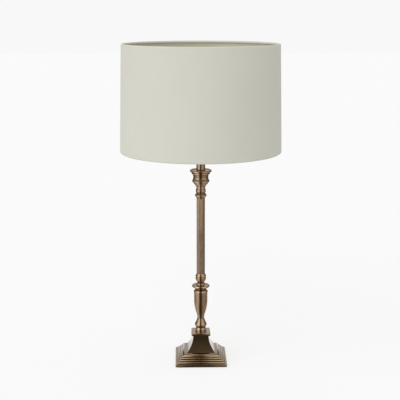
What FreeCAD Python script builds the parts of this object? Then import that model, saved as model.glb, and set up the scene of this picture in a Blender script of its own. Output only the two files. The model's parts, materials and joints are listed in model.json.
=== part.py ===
import FreeCAD, Part

import math
import os

# Column table lamp: a square stepped base, a turned and tubular column and a drum shade of linen.
# Millimetres, +Z up. The origin is on the table, on the column's axis, and the front faces -Y.

V = FreeCAD.Vector

# Fits and clearances
running_clear = 0.05
rod_clear = 0.2
glue_line = 0.05
thread_clear = 0.1
plate_clear = 0.3
face_clear = 0.1
wire_clear = 0.2

# Base casting, as half a cross-section from the rim up
base_width = 114.0
fascia_rise = 5.5
fascia_round = 0.8
step_count = 3
step_rise = 3.8
step_going = 4.0
step_round = 3.0
quirk_going = 4.2
quirk_rise = 1.2
roll_rise = 5.6
roll_overhang = 0.6
roll_set_back = 8.0
roll_proud = 1.4
roll_fillet_going = 0.7
roll_fillet_rise = 0.4
cavetto_ledge = 0.7
cavetto_rise = 35.4
cavetto_top_width = 34.6
casting_wall = 3.5
casting_rim = 3.4
casting_top_wall = 4.5
boss_dia = 9.0
boss_rise = 7.5
boss_inset = 16.0

# Felt, ballast plate and its screws
felt_thick = 1.5
felt_inset = 2.5
plate_thick = 4.5
plate_hole_dia = 30.0
screw_dia = 4.0
screw_length = 10.0
screw_head_dia = 7.6
screw_head_rise = 2.2

# Square cap on the casting
cap_width = 42.6
cap_thick = 6.0
cap_round = 2.4
cap_chamfer = 0.6

# Lead inlet in the back of the plinth
bush_bore_dia = 5.5
bush_body_dia = 7.5
bush_flange_dia = 9.4
bush_flange_thick = 2.0
bush_length = 13.0
bush_height = 12.2
bush_seat_depth = 12.5
bush_boss_wall = 2.0

# Hollow threaded tie rod and what holds its lower end
rod_dia = 10.0
rod_bore_dia = 7.5
rod_below_nut = 5.0
rod_into_holder = 7.5
washer_dia = 22.0
washer_thick = 1.6
tag_dia = 17.0
tag_thick = 0.8
tag_tongue_width = 6.0
nut_flats = 17.0
nut_rise = 6.0

# Foot collar, the drum that stands on the cap
collar_foot_dia = 24.2
collar_top_dia = 21.8
collar_rise = 8.0
collar_proud = 0.6

# Baluster, from its foot up: foot ring, trumpet, neck, vase and lip
baluster_seat_dia = 20.8
baluster_seat_rise = 1.2
foot_ring_dia = 26.6
foot_under_rise = 4.8
foot_under_proud = 0.15
foot_edge_rise = 2.4
foot_edge_proud = 0.25
trumpet_shoulder_dia = 24.4
trumpet_shoulder_rise = 2.5
trumpet_shoulder_proud = 0.2
trumpet_end_dia = 16.7
trumpet_rise = 9.6
trumpet_hollow = 0.25
baluster_neck_dia = 15.7
baluster_neck_rise = 2.5
vase_dia = 30.0
vase_swell_rise = 40.0
vase_turn = 0.28
vase_straight_rise = 16.0
vase_lip_dia = 30.6
vase_lip_rise = 2.0
vase_lip_edge_rise = 1.0

# Torus collar above the vase
torus_seat_dia = 28.4
torus_seat_rise = 0.7
torus_dia = 29.6
torus_top_dia = 28.4
torus_rise = 6.0
torus_proud = 1.2
torus_neck_dia = 21.4
torus_neck_rise = 3.0

# Drip disc
disc_under_dia = 37.6
disc_under_rise = 4.7
disc_under_proud = 0.3
disc_edge_dia = 36.6
disc_edge_rise = 4.4
disc_edge_proud = 1.1
disc_top_dia = 20.2
disc_top_rise = 1.2

# Knop under the tube: fillet ring, neck, ball and upper ring
knop_ring_dia = 19.2
knop_ring_rise = 2.1
knop_ring_proud = 0.3
knop_neck_dia = 14.0
knop_neck_rise = 2.1
knop_flare_dia = 17.0
knop_flare_rise = 2.4
ball_dia = 23.2
ball_swell_rise = 6.9
ball_upper_dia = 22.3
ball_upper_rise = 4.2
ball_upper_proud = 0.35
knop_bead_dia = 22.4
knop_bead_top_dia = 21.0
knop_bead_rise = 4.8
knop_bead_proud = 0.95
knop_cove_rise = 2.5

# Column tube and the spigots that centre it
tube_dia = 18.4
tube_wall = 1.2
tube_length = 171.0
tube_spigot_rise = 9.0

# Upper collar: flare, sharp ring, small bead and knob
flare_seat_rise = 0.7
flare_dia = 24.8
flare_rise = 5.0
flare_hollow = 0.15
ring_edge_dia = 25.4
ring_edge_rise = 2.7
ring_edge_proud = 0.5
ring_slope_rise = 3.6
bead_seat_dia = 19.8
bead_rise = 1.8
bead_proud = 0.4
knob_rise = 7.4
knob_proud = 1.3
upper_neck_dia = 19.0
upper_neck_rise = 3.6

# Candle cup, from its stem up: tulip, lip, bead, waist, fillet, rim and dish
tulip_dia = 32.0
tulip_rise = 9.6
tulip_hollow = 0.3
tulip_lip_dia = 32.4
tulip_lip_rise = 2.2
cup_bead_dia = 35.6
cup_bead_rise = 5.0
cup_bead_proud = 1.3
waist_foot_dia = 36.0
waist_top_dia = 37.2
waist_rise = 13.2
waist_hollow = 1.7
cup_fillet_dia = 40.6
cup_fillet_rise = 3.6
rim_under_rise = 1.0
rim_dia = 47.0
rim_rise = 3.2
rim_proud = 0.45
rim_top_dia = 44.6
rim_top_rise = 0.6
dish_depth = 1.4
dish_floor_dia = 38.0
cup_step_rise = 0.6

# Neck sleeve between the cup and the lampholder
sleeve_foot_dia = 19.9
sleeve_top_dia = 19.0
sleeve_rise = 16.2
sleeve_wall = 1.6

# Lampholder: domed cap, switch body and threaded barrel
holder_dia = 38.4
holder_wall = 1.2
holder_boss_dia = 22.0
holder_boss_rise = 3.8
holder_dome_rise = 8.2
holder_cap_skirt = 3.0
holder_nipple_dia = 16.0
holder_nipple_rise = 4.0
holder_floor = 1.5
holder_body_rise = 17.0
barrel_flange_dia = 42.0
barrel_flange_rise = 1.5
barrel_dia = 39.0
barrel_rise = 22.5
barrel_lip = 2.0
grub_dia = 3.0

# Lampholder core: insulator, screw shell, contact, terminals
core_floor = 4.5
core_rise = 21.0
core_sink = 0.6
shell_dia = 27.6
shell_wall = 0.6
shell_rise = 19.5
contact_dia = 9.0
contact_rise = 0.9
terminal_length = 6.0
terminal_width = 5.0
terminal_rise = 5.5
terminal_offset = 11.0
terminal_screw_dia = 2.6
terminal_screw_length = 4.0
terminal_head_dia = 4.4
terminal_head_rise = 1.3

# Push-through switch bar
bar_dia = 7.0
bar_proud = 7.5
bar_travel = 5.0
bar_drop = 11.0
bar_end_round = 1.2
bar_collar_dia = 9.6
bar_collar_length = 6.0

# Shade rings on the barrel
seat_ring_dia = 47.0
seat_ring_rise = 3.8
shade_ring_dia = 47.0
shade_ring_rise = 5.5
shade_ring_grip = 4.0
shade_ring_lug_dia = 44.0

# Bulb, measured up from its contact
bulb_button_dia = 9.6
bulb_button_rise = 1.2
bulb_insulator_dia = 22.0
bulb_insulator_rise = 2.6
bulb_cap_rise = 21.5
bulb_cap_taper_rise = 2.0
bulb_collar_dia = 54.0
bulb_collar_rise = 30.0
bulb_collar_proud = 1.5
bulb_swell_rise = 17.0
bulb_dia = 60.0
bulb_wall = 1.2

# Shade: linen cover on a stiff lining, rolled over two wire rings
shade_bottom = 476.0
shade_height = 232.0
shade_bottom_dia = 350.0
shade_top_dia = 340.0
cover_thick = 0.6
lining_thick = 0.6
wire_dia = 3.5
roll_turn_deg = 285.0
roll_flats = 12
seam_width = 12.0
seam_thick = 0.4

# Shade carrier
hub_dia = 50.0
hub_thick = 2.0
hub_clear = 0.6
arm_count = 3
arm_dia = 3.2
arm_weld_depth = 1.0

# Heights that follow from the pieces below
casting_foot = felt_thick
plate_top = casting_foot + plate_thick
steps_foot = casting_foot + fascia_rise
quirk_foot = steps_foot + step_count * step_rise
roll_foot = quirk_foot + quirk_rise
cavetto_foot = roll_foot + roll_rise + roll_fillet_rise
casting_top = cavetto_foot + cavetto_rise
cap_top = casting_top + cap_thick
rod_hole_dia = rod_dia + 2 * rod_clear
roll_outer = wire_dia / 2 + wire_clear + cover_thick

# Half-widths of the casting that follow from its goings
last_step_half = base_width / 2 - step_count * step_going
quirk_half = last_step_half - quirk_going
roll_half = quirk_half + roll_overhang
roll_top_half = quirk_half - roll_set_back
fillet_half = roll_top_half - roll_fillet_going
cavetto_half = fillet_half - cavetto_ledge


def proud_point(here, there, proud):
    """The middle of an arc that stands proud of its chord, outwards, or upwards where it is level."""
    run = there[0] - here[0]
    rise = there[1] - here[1]
    length = math.hypot(run, rise)
    side = -1.0 if rise < 0 or (rise == 0 and run > 0) else 1.0
    return (
        (here[0] + there[0]) / 2 + side * proud * rise / length,
        (here[1] + there[1]) / 2 - side * proud * run / length,
    )


def upright_point(upright, other):
    """The middle of an arc between two points that runs straight up at the first of them."""
    run = other[0] - upright[0]
    rise = other[1] - upright[1]
    lean = math.atan2(abs(run), abs(rise))
    radius = math.hypot(run, rise) / (2 * math.sin(lean))
    return (
        upright[0] + math.copysign(radius * (1 - math.cos(lean)), run),
        upright[1] + math.copysign(radius * math.sin(lean), rise),
    )


class Outline:
    """An outline that is walked upwards. Each step starts where the last one ended."""

    def __init__(self, half, height):
        self.start = (half, height)
        self.here = (half, height)
        self.edges = []

    def point(self, place):
        return V(place[0], 0, place[1])

    def line_to(self, half, height):
        there = (half, height)
        self.edges.append(Part.LineSegment(self.point(self.here), self.point(there)).toShape())
        self.here = there
        return self

    def arc_to(self, middle, there):
        arc = Part.Arc(self.point(self.here), self.point(middle), self.point(there))
        self.edges.append(arc.toShape())
        self.here = there
        return self

    def line(self, half, rise=0.0):
        return self.line_to(half, self.here[1] + rise)

    def swell(self, half, rise, proud):
        """An arc to a new half-width, standing proud of its chord, or hollow where proud is negative."""
        there = (half, self.here[1] + rise)
        return self.arc_to(proud_point(self.here, there, proud), there)

    def leave_upright(self, half, rise):
        there = (half, self.here[1] + rise)
        return self.arc_to(upright_point(self.here, there), there)

    def arrive_upright(self, half, rise):
        there = (half, self.here[1] + rise)
        return self.arc_to(upright_point(there, self.here), there)

    def ogee(self, half, rise, turn):
        """Two arcs, upright at both ends, that meet smoothly at the share turn of the way."""
        first_run = (half - self.here[0]) * turn
        self.leave_upright(self.here[0] + first_run, rise * turn)
        return self.arrive_upright(half, rise * (1 - turn))

    def round_in(self, radius):
        """A quarter round at the top of an upright edge."""
        half = self.here[0]
        height = self.here[1]
        reach = radius * (1 - math.sqrt(0.5))
        return self.arc_to((half - reach, height + radius - reach), (half - radius, height + radius))

    def turned(self, bore_half):
        """The solid of revolution between this outline and a plain bore."""
        self.line(bore_half)
        self.line_to(bore_half, self.start[1])
        if bore_half != self.start[0]:
            self.line_to(*self.start)
        return self.revolved()

    def revolved(self):
        return Part.Face(Part.Wire(self.edges)).revolve(V(0, 0, 0), V(0, 0, 1), 360)

    def mitred(self):
        """The square solid with this outline on all four sides, mitred at its corners."""
        mirrored = [edge.mirror(V(0, 0, 0), V(1, 0, 0)) for edge in self.edges]
        half, height = self.here
        top = Part.LineSegment(V(half, 0, height), V(-half, 0, height)).toShape()
        half, height = self.start
        bottom = Part.LineSegment(V(-half, 0, height), V(half, 0, height)).toShape()
        loop = Part.__sortEdges__(self.edges + mirrored + [top, bottom])
        reach = 2 * max(abs(vertex.X) for edge in self.edges for vertex in edge.Vertexes)
        section = Part.Face(Part.Wire(loop))
        section.translate(V(0, -reach, 0))
        along_y = section.extrude(V(0, 2 * reach, 0))
        along_x = along_y.copy()
        along_x.rotate(V(0, 0, 0), V(0, 0, 1), 90)
        return along_y.common(along_x)


def rod(dia, foot, top):
    return Part.makeCylinder(dia / 2, top - foot, V(0, 0, foot))


def tube(outer_dia, inner_dia, foot, top):
    return rod(outer_dia, foot, top).cut(rod(inner_dia, foot, top))


def slab(width, foot, top):
    return Part.makeBox(width, width, top - foot, V(-width / 2, -width / 2, foot))


def hexagon(flats, foot, top):
    corner = flats / math.sqrt(3)
    places = [math.radians(60 * turn) for turn in range(7)]
    ring = Part.makePolygon([V(corner * math.cos(a), corner * math.sin(a), foot) for a in places])
    return Part.Face(ring).extrude(V(0, 0, top - foot))


def four_corners(shape, offset):
    """The shape at the four corners of a square, as separate solids."""
    placed = []
    for x in (-offset, offset):
        for y in (-offset, offset):
            copy = shape.copy()
            copy.translate(V(x, y, 0))
            placed.append(copy)
    return placed


def turned_copies(shape, count, start_deg=0.0):
    copies = []
    for turn in range(count):
        copy = shape.copy()
        copy.rotate(V(0, 0, 0), V(0, 0, 1), start_deg + 360.0 * turn / count)
        copies.append(copy)
    return copies


# Base

def base_outside():
    shape = Outline(base_width / 2, casting_foot)
    shape.line(base_width / 2, fascia_rise - fascia_round).round_in(fascia_round)
    for step in range(1, step_count + 1):
        half = base_width / 2 - step * step_going
        shape.line(half)
        shape.line(half, step_rise - step_round).round_in(step_round)
    shape.line(quirk_half)
    shape.line(quirk_half, quirk_rise)
    shape.line(roll_half)
    shape.swell(roll_top_half, roll_rise, roll_proud)
    shape.line(fillet_half)
    shape.line(fillet_half, roll_fillet_rise)
    shape.line(cavetto_half)
    shape.arrive_upright(cavetto_top_width / 2, cavetto_rise)
    return shape


def base_hollow():
    """The casting's inside: a pocket for the ballast plate, then a roof one wall inside the outline."""
    shape = Outline(base_width / 2 - casting_rim, casting_foot)
    shape.line(base_width / 2 - casting_rim, plate_thick)
    shape.line(base_width / 2 - step_going - casting_wall)
    shape.line_to(quirk_half - casting_wall, quirk_foot - casting_wall)
    shape.line_to(cavetto_half - casting_wall, cavetto_foot - casting_wall)
    roof = casting_top - casting_top_wall
    return shape.arrive_upright(cavetto_top_width / 2 - casting_wall, roof - shape.here[1])


def bush_axis_cylinder(dia, near, far):
    """A cylinder along the lead inlet's axis, between two distances behind the column."""
    return Part.makeCylinder(dia / 2, far - near, V(0, near, bush_height), V(0, 1, 0))


def base_casting():
    """The hollow moulded casting, with its screw bosses and the counterbored boss of the lead inlet."""
    casting = base_outside().mitred().cut(base_hollow().mitred())
    boss = rod(boss_dia, plate_top, plate_top + boss_rise)
    seat = base_width / 2 - bush_seat_depth
    counterbore_dia = bush_flange_dia + 2 * plate_clear
    inlet_boss_dia = counterbore_dia + 2 * bush_boss_wall
    inlet_boss = bush_axis_cylinder(inlet_boss_dia, seat - bush_flange_dia / 2, last_step_half)
    inlet_boss = inlet_boss.common(slab(base_width, plate_top, roll_foot))
    casting = casting.fuse(four_corners(boss, base_width / 2 - boss_inset) + [inlet_boss])
    screw_hole = rod(screw_dia, plate_top, casting_foot + screw_length)
    for hole in four_corners(screw_hole, base_width / 2 - boss_inset):
        casting = casting.cut(hole)
    casting = casting.cut(rod(rod_hole_dia, cavetto_foot, casting_top))
    casting = casting.cut(bush_axis_cylinder(counterbore_dia, seat, base_width))
    return casting.cut(bush_axis_cylinder(bush_body_dia, 0, base_width))


def base_plate():
    width = base_width - 2 * casting_rim - 2 * plate_clear
    plate = slab(width, casting_foot, plate_top)
    plate = plate.cut(rod(plate_hole_dia, casting_foot, plate_top))
    offset = base_width / 2 - boss_inset
    for screw in plate_screws():
        plate = plate.cut(screw)
    for hole in four_corners(rod(screw_dia, casting_foot, plate_top), offset):
        plate = plate.cut(hole)
    return plate


def plate_screws():
    head = Part.makeCone(
        screw_head_dia / 2, screw_dia / 2 - running_clear, screw_head_rise, V(0, 0, casting_foot)
    )
    shank = rod(screw_dia - 2 * running_clear, casting_foot, casting_foot + screw_length)
    return four_corners(head.fuse(shank), base_width / 2 - boss_inset)


def base_cap():
    shape = Outline(cap_width / 2 - cap_chamfer, casting_top)
    shape.line(cap_width / 2, cap_chamfer)
    shape.line(cap_width / 2, cap_thick - cap_chamfer - cap_round).round_in(cap_round)
    return shape.mitred().cut(rod(rod_hole_dia, casting_top, cap_top))


def cable_bush():
    face = base_width / 2 - bush_seat_depth
    body = bush_axis_cylinder(bush_body_dia, face + bush_flange_thick - bush_length, face)
    flange = bush_axis_cylinder(bush_flange_dia, face, face + bush_flange_thick)
    return body.fuse(flange).cut(bush_axis_cylinder(bush_bore_dia, 0, base_width)).removeSplitter()


# Turned column, from the cap up

def foot_collar(foot):
    shape = Outline(collar_foot_dia / 2, foot)
    shape.swell(collar_top_dia / 2, collar_rise, collar_proud)
    return shape


def baluster(foot):
    shape = Outline(baluster_seat_dia / 2, foot)
    shape.line(baluster_seat_dia / 2, baluster_seat_rise)
    shape.swell(foot_ring_dia / 2, foot_under_rise, foot_under_proud)
    shape.swell(foot_ring_dia / 2, foot_edge_rise, foot_edge_proud)
    shape.swell(trumpet_shoulder_dia / 2, trumpet_shoulder_rise, trumpet_shoulder_proud)
    shape.swell(trumpet_end_dia / 2, trumpet_rise, -trumpet_hollow)
    shape.arrive_upright(baluster_neck_dia / 2, baluster_neck_rise)
    shape.ogee(vase_dia / 2, vase_swell_rise, vase_turn)
    shape.line(vase_dia / 2, vase_straight_rise)
    shape.line(vase_lip_dia / 2, vase_lip_rise - vase_lip_edge_rise)
    shape.line(vase_lip_dia / 2, vase_lip_edge_rise)
    return shape


def vase_collar(foot):
    shape = Outline(torus_seat_dia / 2, foot)
    shape.line(torus_seat_dia / 2, torus_seat_rise)
    shape.line(torus_dia / 2)
    shape.swell(torus_top_dia / 2, torus_rise, torus_proud)
    shape.line(torus_neck_dia / 2, torus_neck_rise)
    return shape


def drip_disc(foot):
    shape = Outline(torus_neck_dia / 2, foot)
    shape.swell(disc_under_dia / 2, disc_under_rise, disc_under_proud)
    shape.swell(disc_edge_dia / 2, disc_edge_rise, disc_edge_proud)
    shape.line(disc_top_dia / 2, disc_top_rise)
    return shape


def knop(foot):
    shape = Outline(knop_ring_dia / 2, foot)
    shape.swell(knop_ring_dia / 2, knop_ring_rise, knop_ring_proud)
    shape.line(knop_neck_dia / 2, knop_neck_rise)
    shape.leave_upright(knop_flare_dia / 2, knop_flare_rise)
    shape.arrive_upright(ball_dia / 2, ball_swell_rise)
    shape.swell(ball_upper_dia / 2, ball_upper_rise, ball_upper_proud)
    shape.line(knop_bead_dia / 2)
    shape.swell(knop_bead_top_dia / 2, knop_bead_rise, knop_bead_proud)
    shape.line(tube_dia / 2, knop_cove_rise)
    return shape


def upper_collar(foot):
    shape = Outline(tube_dia / 2, foot)
    shape.line(tube_dia / 2, flare_seat_rise)
    shape.swell(flare_dia / 2, flare_rise, -flare_hollow)
    shape.swell(ring_edge_dia / 2, ring_edge_rise, ring_edge_proud)
    shape.line(bead_seat_dia / 2, ring_slope_rise)
    shape.swell(bead_seat_dia / 2, bead_rise, bead_proud)
    shape.swell(bead_seat_dia / 2, knob_rise, knob_proud)
    shape.line(upper_neck_dia / 2, upper_neck_rise)
    return shape


def candle_cup(foot):
    shape = Outline(upper_neck_dia / 2, foot)
    shape.swell(tulip_dia / 2, tulip_rise, -tulip_hollow)
    shape.line(tulip_lip_dia / 2)
    shape.line(tulip_lip_dia / 2, tulip_lip_rise)
    shape.line(cup_bead_dia / 2)
    shape.swell(cup_bead_dia / 2, cup_bead_rise, cup_bead_proud)
    shape.line(waist_foot_dia / 2)
    shape.swell(waist_top_dia / 2, waist_rise, -waist_hollow)
    shape.line(cup_fillet_dia / 2, cup_step_rise)
    shape.line(cup_fillet_dia / 2, cup_fillet_rise)
    shape.line(rim_dia / 2, rim_under_rise)
    shape.swell(rim_dia / 2, rim_rise, rim_proud)
    shape.line(rim_top_dia / 2, rim_top_rise)
    shape.line(dish_floor_dia / 2, -dish_depth)
    return shape


def with_spigot(shape, foot, top):
    """The turned piece with a plain spigot that centres the column tube on it."""
    spigot_dia = tube_dia - 2 * tube_wall - 2 * running_clear
    return shape.fuse(tube(spigot_dia, rod_hole_dia, foot, top)).removeSplitter()


def neck_sleeve(foot):
    shape = Outline(sleeve_foot_dia / 2, foot)
    shape.line(sleeve_top_dia / 2, sleeve_rise)
    return shape.turned(sleeve_top_dia / 2 - sleeve_wall)


# Tie rod and its fastenings under the casting's roof

def earth_tag(foot):
    disc = rod(tag_dia, foot, foot + tag_thick)
    reach = cavetto_top_width / 2 - casting_wall - plate_clear
    tongue = Part.makeBox(reach, tag_tongue_width, tag_thick, V(0, -tag_tongue_width / 2, foot))
    return disc.fuse(tongue).cut(rod(rod_hole_dia, foot, foot + tag_thick)).removeSplitter()


# Lampholder

def holder_cap(foot):
    inner = holder_dia / 2 - holder_wall
    shape = Outline(rod_dia / 2 + thread_clear, foot)
    shape.line(holder_boss_dia / 2)
    shape.line(holder_boss_dia / 2, holder_boss_rise)
    shape.arrive_upright(holder_dia / 2, holder_dome_rise)
    shape.line(holder_dia / 2, holder_cap_skirt)
    shape.line(inner)
    shape.line(inner, -holder_cap_skirt)
    inner_rise = holder_dome_rise - holder_floor
    inner_foot = (inner - inner_rise, shape.here[1] - inner_rise)
    shape.arc_to(upright_point(shape.here, inner_foot), inner_foot)
    shape.line(holder_nipple_dia / 2)
    shape.line(holder_nipple_dia / 2, holder_nipple_rise)
    shape.line(rod_dia / 2 + thread_clear)
    shape.line_to(*shape.start)
    return shape.revolved().cut(grub_cylinder(foot, grub_dia, holder_boss_dia))


def grub_cylinder(foot, dia, far):
    height = foot + holder_boss_rise / 2
    near = rod_dia / 2 + thread_clear
    return Part.makeCylinder(dia / 2, far - near, V(0, near, height), V(0, 1, 0))


def grub_screw(foot):
    return grub_cylinder(foot, grub_dia - 2 * running_clear, holder_boss_dia / 2)


def holder_body(foot, bar_height):
    body = tube(holder_dia, holder_dia - 2 * holder_wall, foot, foot + holder_body_rise)
    bar_hole = Part.makeCylinder(
        bar_dia / 2 + running_clear, 2 * holder_dia, V(-holder_dia, 0, bar_height), V(1, 0, 0)
    )
    return body.cut(bar_hole)


def holder_barrel(foot):
    inner = barrel_dia / 2 - holder_wall
    shape = Outline(inner, foot)
    shape.line(barrel_flange_dia / 2)
    shape.line(barrel_flange_dia / 2, barrel_flange_rise)
    shape.line(barrel_dia / 2)
    shape.line(barrel_dia / 2, barrel_rise)
    shape.line(inner - barrel_lip)
    shape.line(inner - barrel_lip, -holder_wall)
    shape.line(inner)
    shape.line_to(*shape.start)
    return shape.revolved()


def holder_core(floor):
    """The insulator: a cup for the screw shell, with its floor between the contact and the terminals."""
    dia = holder_dia - 2 * holder_wall - 2 * running_clear
    core = rod(dia, floor - core_floor, floor + core_rise - core_floor)
    return core.cut(rod(shell_dia + 2 * running_clear, floor, floor + core_rise))


def two_sides(shape, offset):
    """The shape on both sides of the column, as separate solids."""
    placed = []
    for side in (-1, 1):
        copy = shape.copy()
        copy.translate(V(0, side * offset, 0))
        placed.append(copy)
    return placed


def terminals(top):
    foot = top - terminal_rise
    corner = V(-terminal_length / 2, -terminal_width / 2, foot)
    block = Part.makeBox(terminal_length, terminal_width, terminal_rise, corner)
    block = block.cut(rod(terminal_screw_dia + 2 * running_clear, foot, foot + terminal_screw_length))
    return two_sides(block, terminal_offset)


def terminal_screws(top):
    foot = top - terminal_rise
    head = rod(terminal_head_dia, foot - terminal_head_rise, foot)
    shank = rod(terminal_screw_dia, foot - terminal_head_rise, foot + terminal_screw_length)
    return two_sides(head.fuse(shank).removeSplitter(), terminal_offset)


def switch_bar(bar_height):
    length = holder_dia + 2 * bar_proud
    start = -length / 2 - bar_travel / 2
    bar = Part.makeCylinder(bar_dia / 2, length, V(start, 0, bar_height), V(1, 0, 0))
    ends = [edge for edge in bar.Edges if len(edge.Vertexes) == 1]
    bar = bar.makeFillet(bar_end_round, ends)
    collar_start = V(-bar_travel / 2 - bar_collar_length / 2, 0, bar_height)
    collar = Part.makeCylinder(bar_collar_dia / 2, bar_collar_length, collar_start, V(1, 0, 0))
    return bar.fuse(collar)


def seat_ring(foot):
    return tube(seat_ring_dia, barrel_dia + 2 * thread_clear, foot, foot + seat_ring_rise)


def shade_ring(foot):
    inner = barrel_dia / 2 + thread_clear
    shape = Outline(inner, foot)
    shape.line(shade_ring_dia / 2)
    shape.line(shade_ring_dia / 2, shade_ring_rise - shade_ring_grip)
    shape.line(shade_ring_lug_dia / 2)
    shape.line(shade_ring_lug_dia / 2, shade_ring_grip)
    shape.line(inner)
    shape.line_to(*shape.start)
    return shape.revolved()


# Bulb

def bulb_pieces(foot):
    """Contact button, insulator, screw cap, collar and hollow dome."""
    cap_half = shell_dia / 2 - shell_wall - thread_clear
    button = Outline(bulb_button_dia / 2 - bulb_button_rise / 2, foot)
    button.line(bulb_button_dia / 2, bulb_button_rise)
    insulator = Outline(bulb_button_dia / 2, foot + bulb_button_rise)
    insulator.line(bulb_insulator_dia / 2, bulb_insulator_rise)
    cap_foot = foot + bulb_button_rise + bulb_insulator_rise
    cap = Outline(bulb_insulator_dia / 2, cap_foot)
    cap.line(cap_half, bulb_cap_taper_rise)
    cap.line(cap_half, bulb_cap_rise - bulb_cap_taper_rise)
    collar = Outline(cap_half, cap_foot + bulb_cap_rise)
    collar.swell(bulb_collar_dia / 2, bulb_collar_rise, bulb_collar_proud)
    dome_foot = cap_foot + bulb_cap_rise + bulb_collar_rise
    return {
        "bulb_contact": button.turned(0),
        "bulb_insulator": insulator.turned(0),
        "bulb_cap": cap.turned(0),
        "bulb_collar": collar.turned(0),
        "bulb_dome": bulb_shape(0, dome_foot).cut(bulb_shape(bulb_wall, dome_foot)),
    }


def bulb_shape(inset, foot):
    """The solid inside the dome's outer or inner face."""
    shape = Outline(bulb_collar_dia / 2 - inset, foot)
    shape.arrive_upright(bulb_dia / 2 - inset, bulb_swell_rise)
    centre = shape.here[1]
    half = bulb_dia / 2 - inset
    reach = half * math.sqrt(0.5)
    shape.arc_to((reach, centre + reach), (0, centre + half))
    shape.line_to(0, foot)
    shape.line_to(*shape.start)
    return shape.revolved()


# Shade

def shade_half(height):
    """Half the shade's outside diameter at a height."""
    share = (height - shade_bottom) / shade_height
    return (shade_bottom_dia + share * (shade_top_dia - shade_bottom_dia)) / 2


def shade_skin(inset, thick, foot, top):
    """A band of the shade's wall, from inset to inset + thick inside its outer face."""
    shape = Outline(shade_half(foot) - inset, foot)
    shape.line_to(shade_half(top) - inset, top)
    shape.line(shade_half(top) - inset - thick)
    shape.line_to(shade_half(foot) - inset - thick, foot)
    shape.line_to(*shape.start)
    return shape.revolved()


def wire_half(height):
    return shade_half(height) - roll_outer


def wire_ring(height):
    return Part.makeTorus(wire_half(height), wire_dia / 2, V(0, 0, height))


def rolled_edge(height, upward):
    """The linen turned round a wire ring, from the cover's edge over the ring and back, in narrow flats."""
    turn = math.radians(roll_turn_deg) * upward

    def on_roll(radius, share):
        return (wire_half(height) + radius * math.cos(turn * share), height + radius * math.sin(turn * share))

    shares = [step / roll_flats for step in range(roll_flats + 1)]
    shape = Outline(*on_roll(roll_outer, 0))
    for share in shares[1:]:
        shape.line_to(*on_roll(roll_outer, share))
    for share in reversed(shares):
        shape.line_to(*on_roll(roll_outer - cover_thick, share))
    shape.line_to(*shape.start)
    return shape.revolved()


def seam_strip(foot, top):
    """The lapped seam down the back of the cover."""
    band = shade_skin(-glue_line - seam_thick, seam_thick, foot, top)
    reach = shade_bottom_dia
    return band.common(Part.makeBox(seam_width, reach, shade_height, V(-seam_width / 2, 0, foot)))


def carrier_arms(hub_height, ring_height, dia):
    """Straight wires from the hub down to the lower ring, evenly spaced, with one at the back."""
    start = V(hub_dia / 2 - arm_weld_depth, 0, hub_height)
    end = V(wire_half(ring_height), 0, ring_height)
    arm = Part.makeCylinder(dia / 2, start.distanceToPoint(end), start, end - start)
    return turned_copies(arm, arm_count, 90)


def arm_start(hub_foot):
    """The height of the arms' axes at the hub, where they lie just under its upper face."""
    return hub_foot + hub_thick - arm_dia / 2 - face_clear


def shade_carrier(hub_foot, ring_height):
    hub = tube(hub_dia, barrel_dia + 2 * hub_clear, hub_foot, hub_foot + hub_thick)
    arms = carrier_arms(arm_start(hub_foot), ring_height, arm_dia)
    return hub.fuse(arms).cut(wire_ring(ring_height))


# Assembly

def base_parts():
    roof = casting_top - casting_top_wall
    washer_foot = roof - washer_thick
    tag_foot = washer_foot - tag_thick
    nut_foot = tag_foot - nut_rise
    return {
        "base_pad": slab(base_width - 2 * felt_inset, 0, felt_thick),
        "base_plate": base_plate(),
        "plate_screws": Part.makeCompound(plate_screws()),
        "base_casting": base_casting(),
        "base_cap": base_cap(),
        "cable_bush": cable_bush(),
        "rod_washer": tube(washer_dia, rod_hole_dia, washer_foot, roof),
        "earth_tag": earth_tag(tag_foot),
        "rod_nut": hexagon(nut_flats, nut_foot, tag_foot).cut(rod(rod_hole_dia, nut_foot, tag_foot)),
    }, nut_foot - rod_below_nut


def column_parts():
    """The turned stack from the cap to the neck, and the height at which the lampholder sits."""
    parts = {}
    height = cap_top
    below = {"foot_collar": foot_collar, "baluster": baluster, "vase_collar": vase_collar}
    below.update({"drip_disc": drip_disc, "knop": knop})
    for node, profile in below.items():
        shape = profile(height)
        height = shape.here[1]
        parts[node] = shape.turned(rod_hole_dia / 2)
    tube_top = height + tube_length
    parts["knop"] = with_spigot(parts["knop"], height, height + tube_spigot_rise)
    parts["column_tube"] = tube(tube_dia, tube_dia - 2 * tube_wall, height, tube_top)
    height = tube_top
    for node, profile in {"upper_collar": upper_collar, "candle_cup": candle_cup}.items():
        shape = profile(height)
        height = shape.here[1]
        parts[node] = shape.turned(rod_hole_dia / 2)
    parts["upper_collar"] = with_spigot(parts["upper_collar"], tube_top - tube_spigot_rise, tube_top)
    parts["neck_sleeve"] = neck_sleeve(height)
    return parts, height + sleeve_rise


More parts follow.
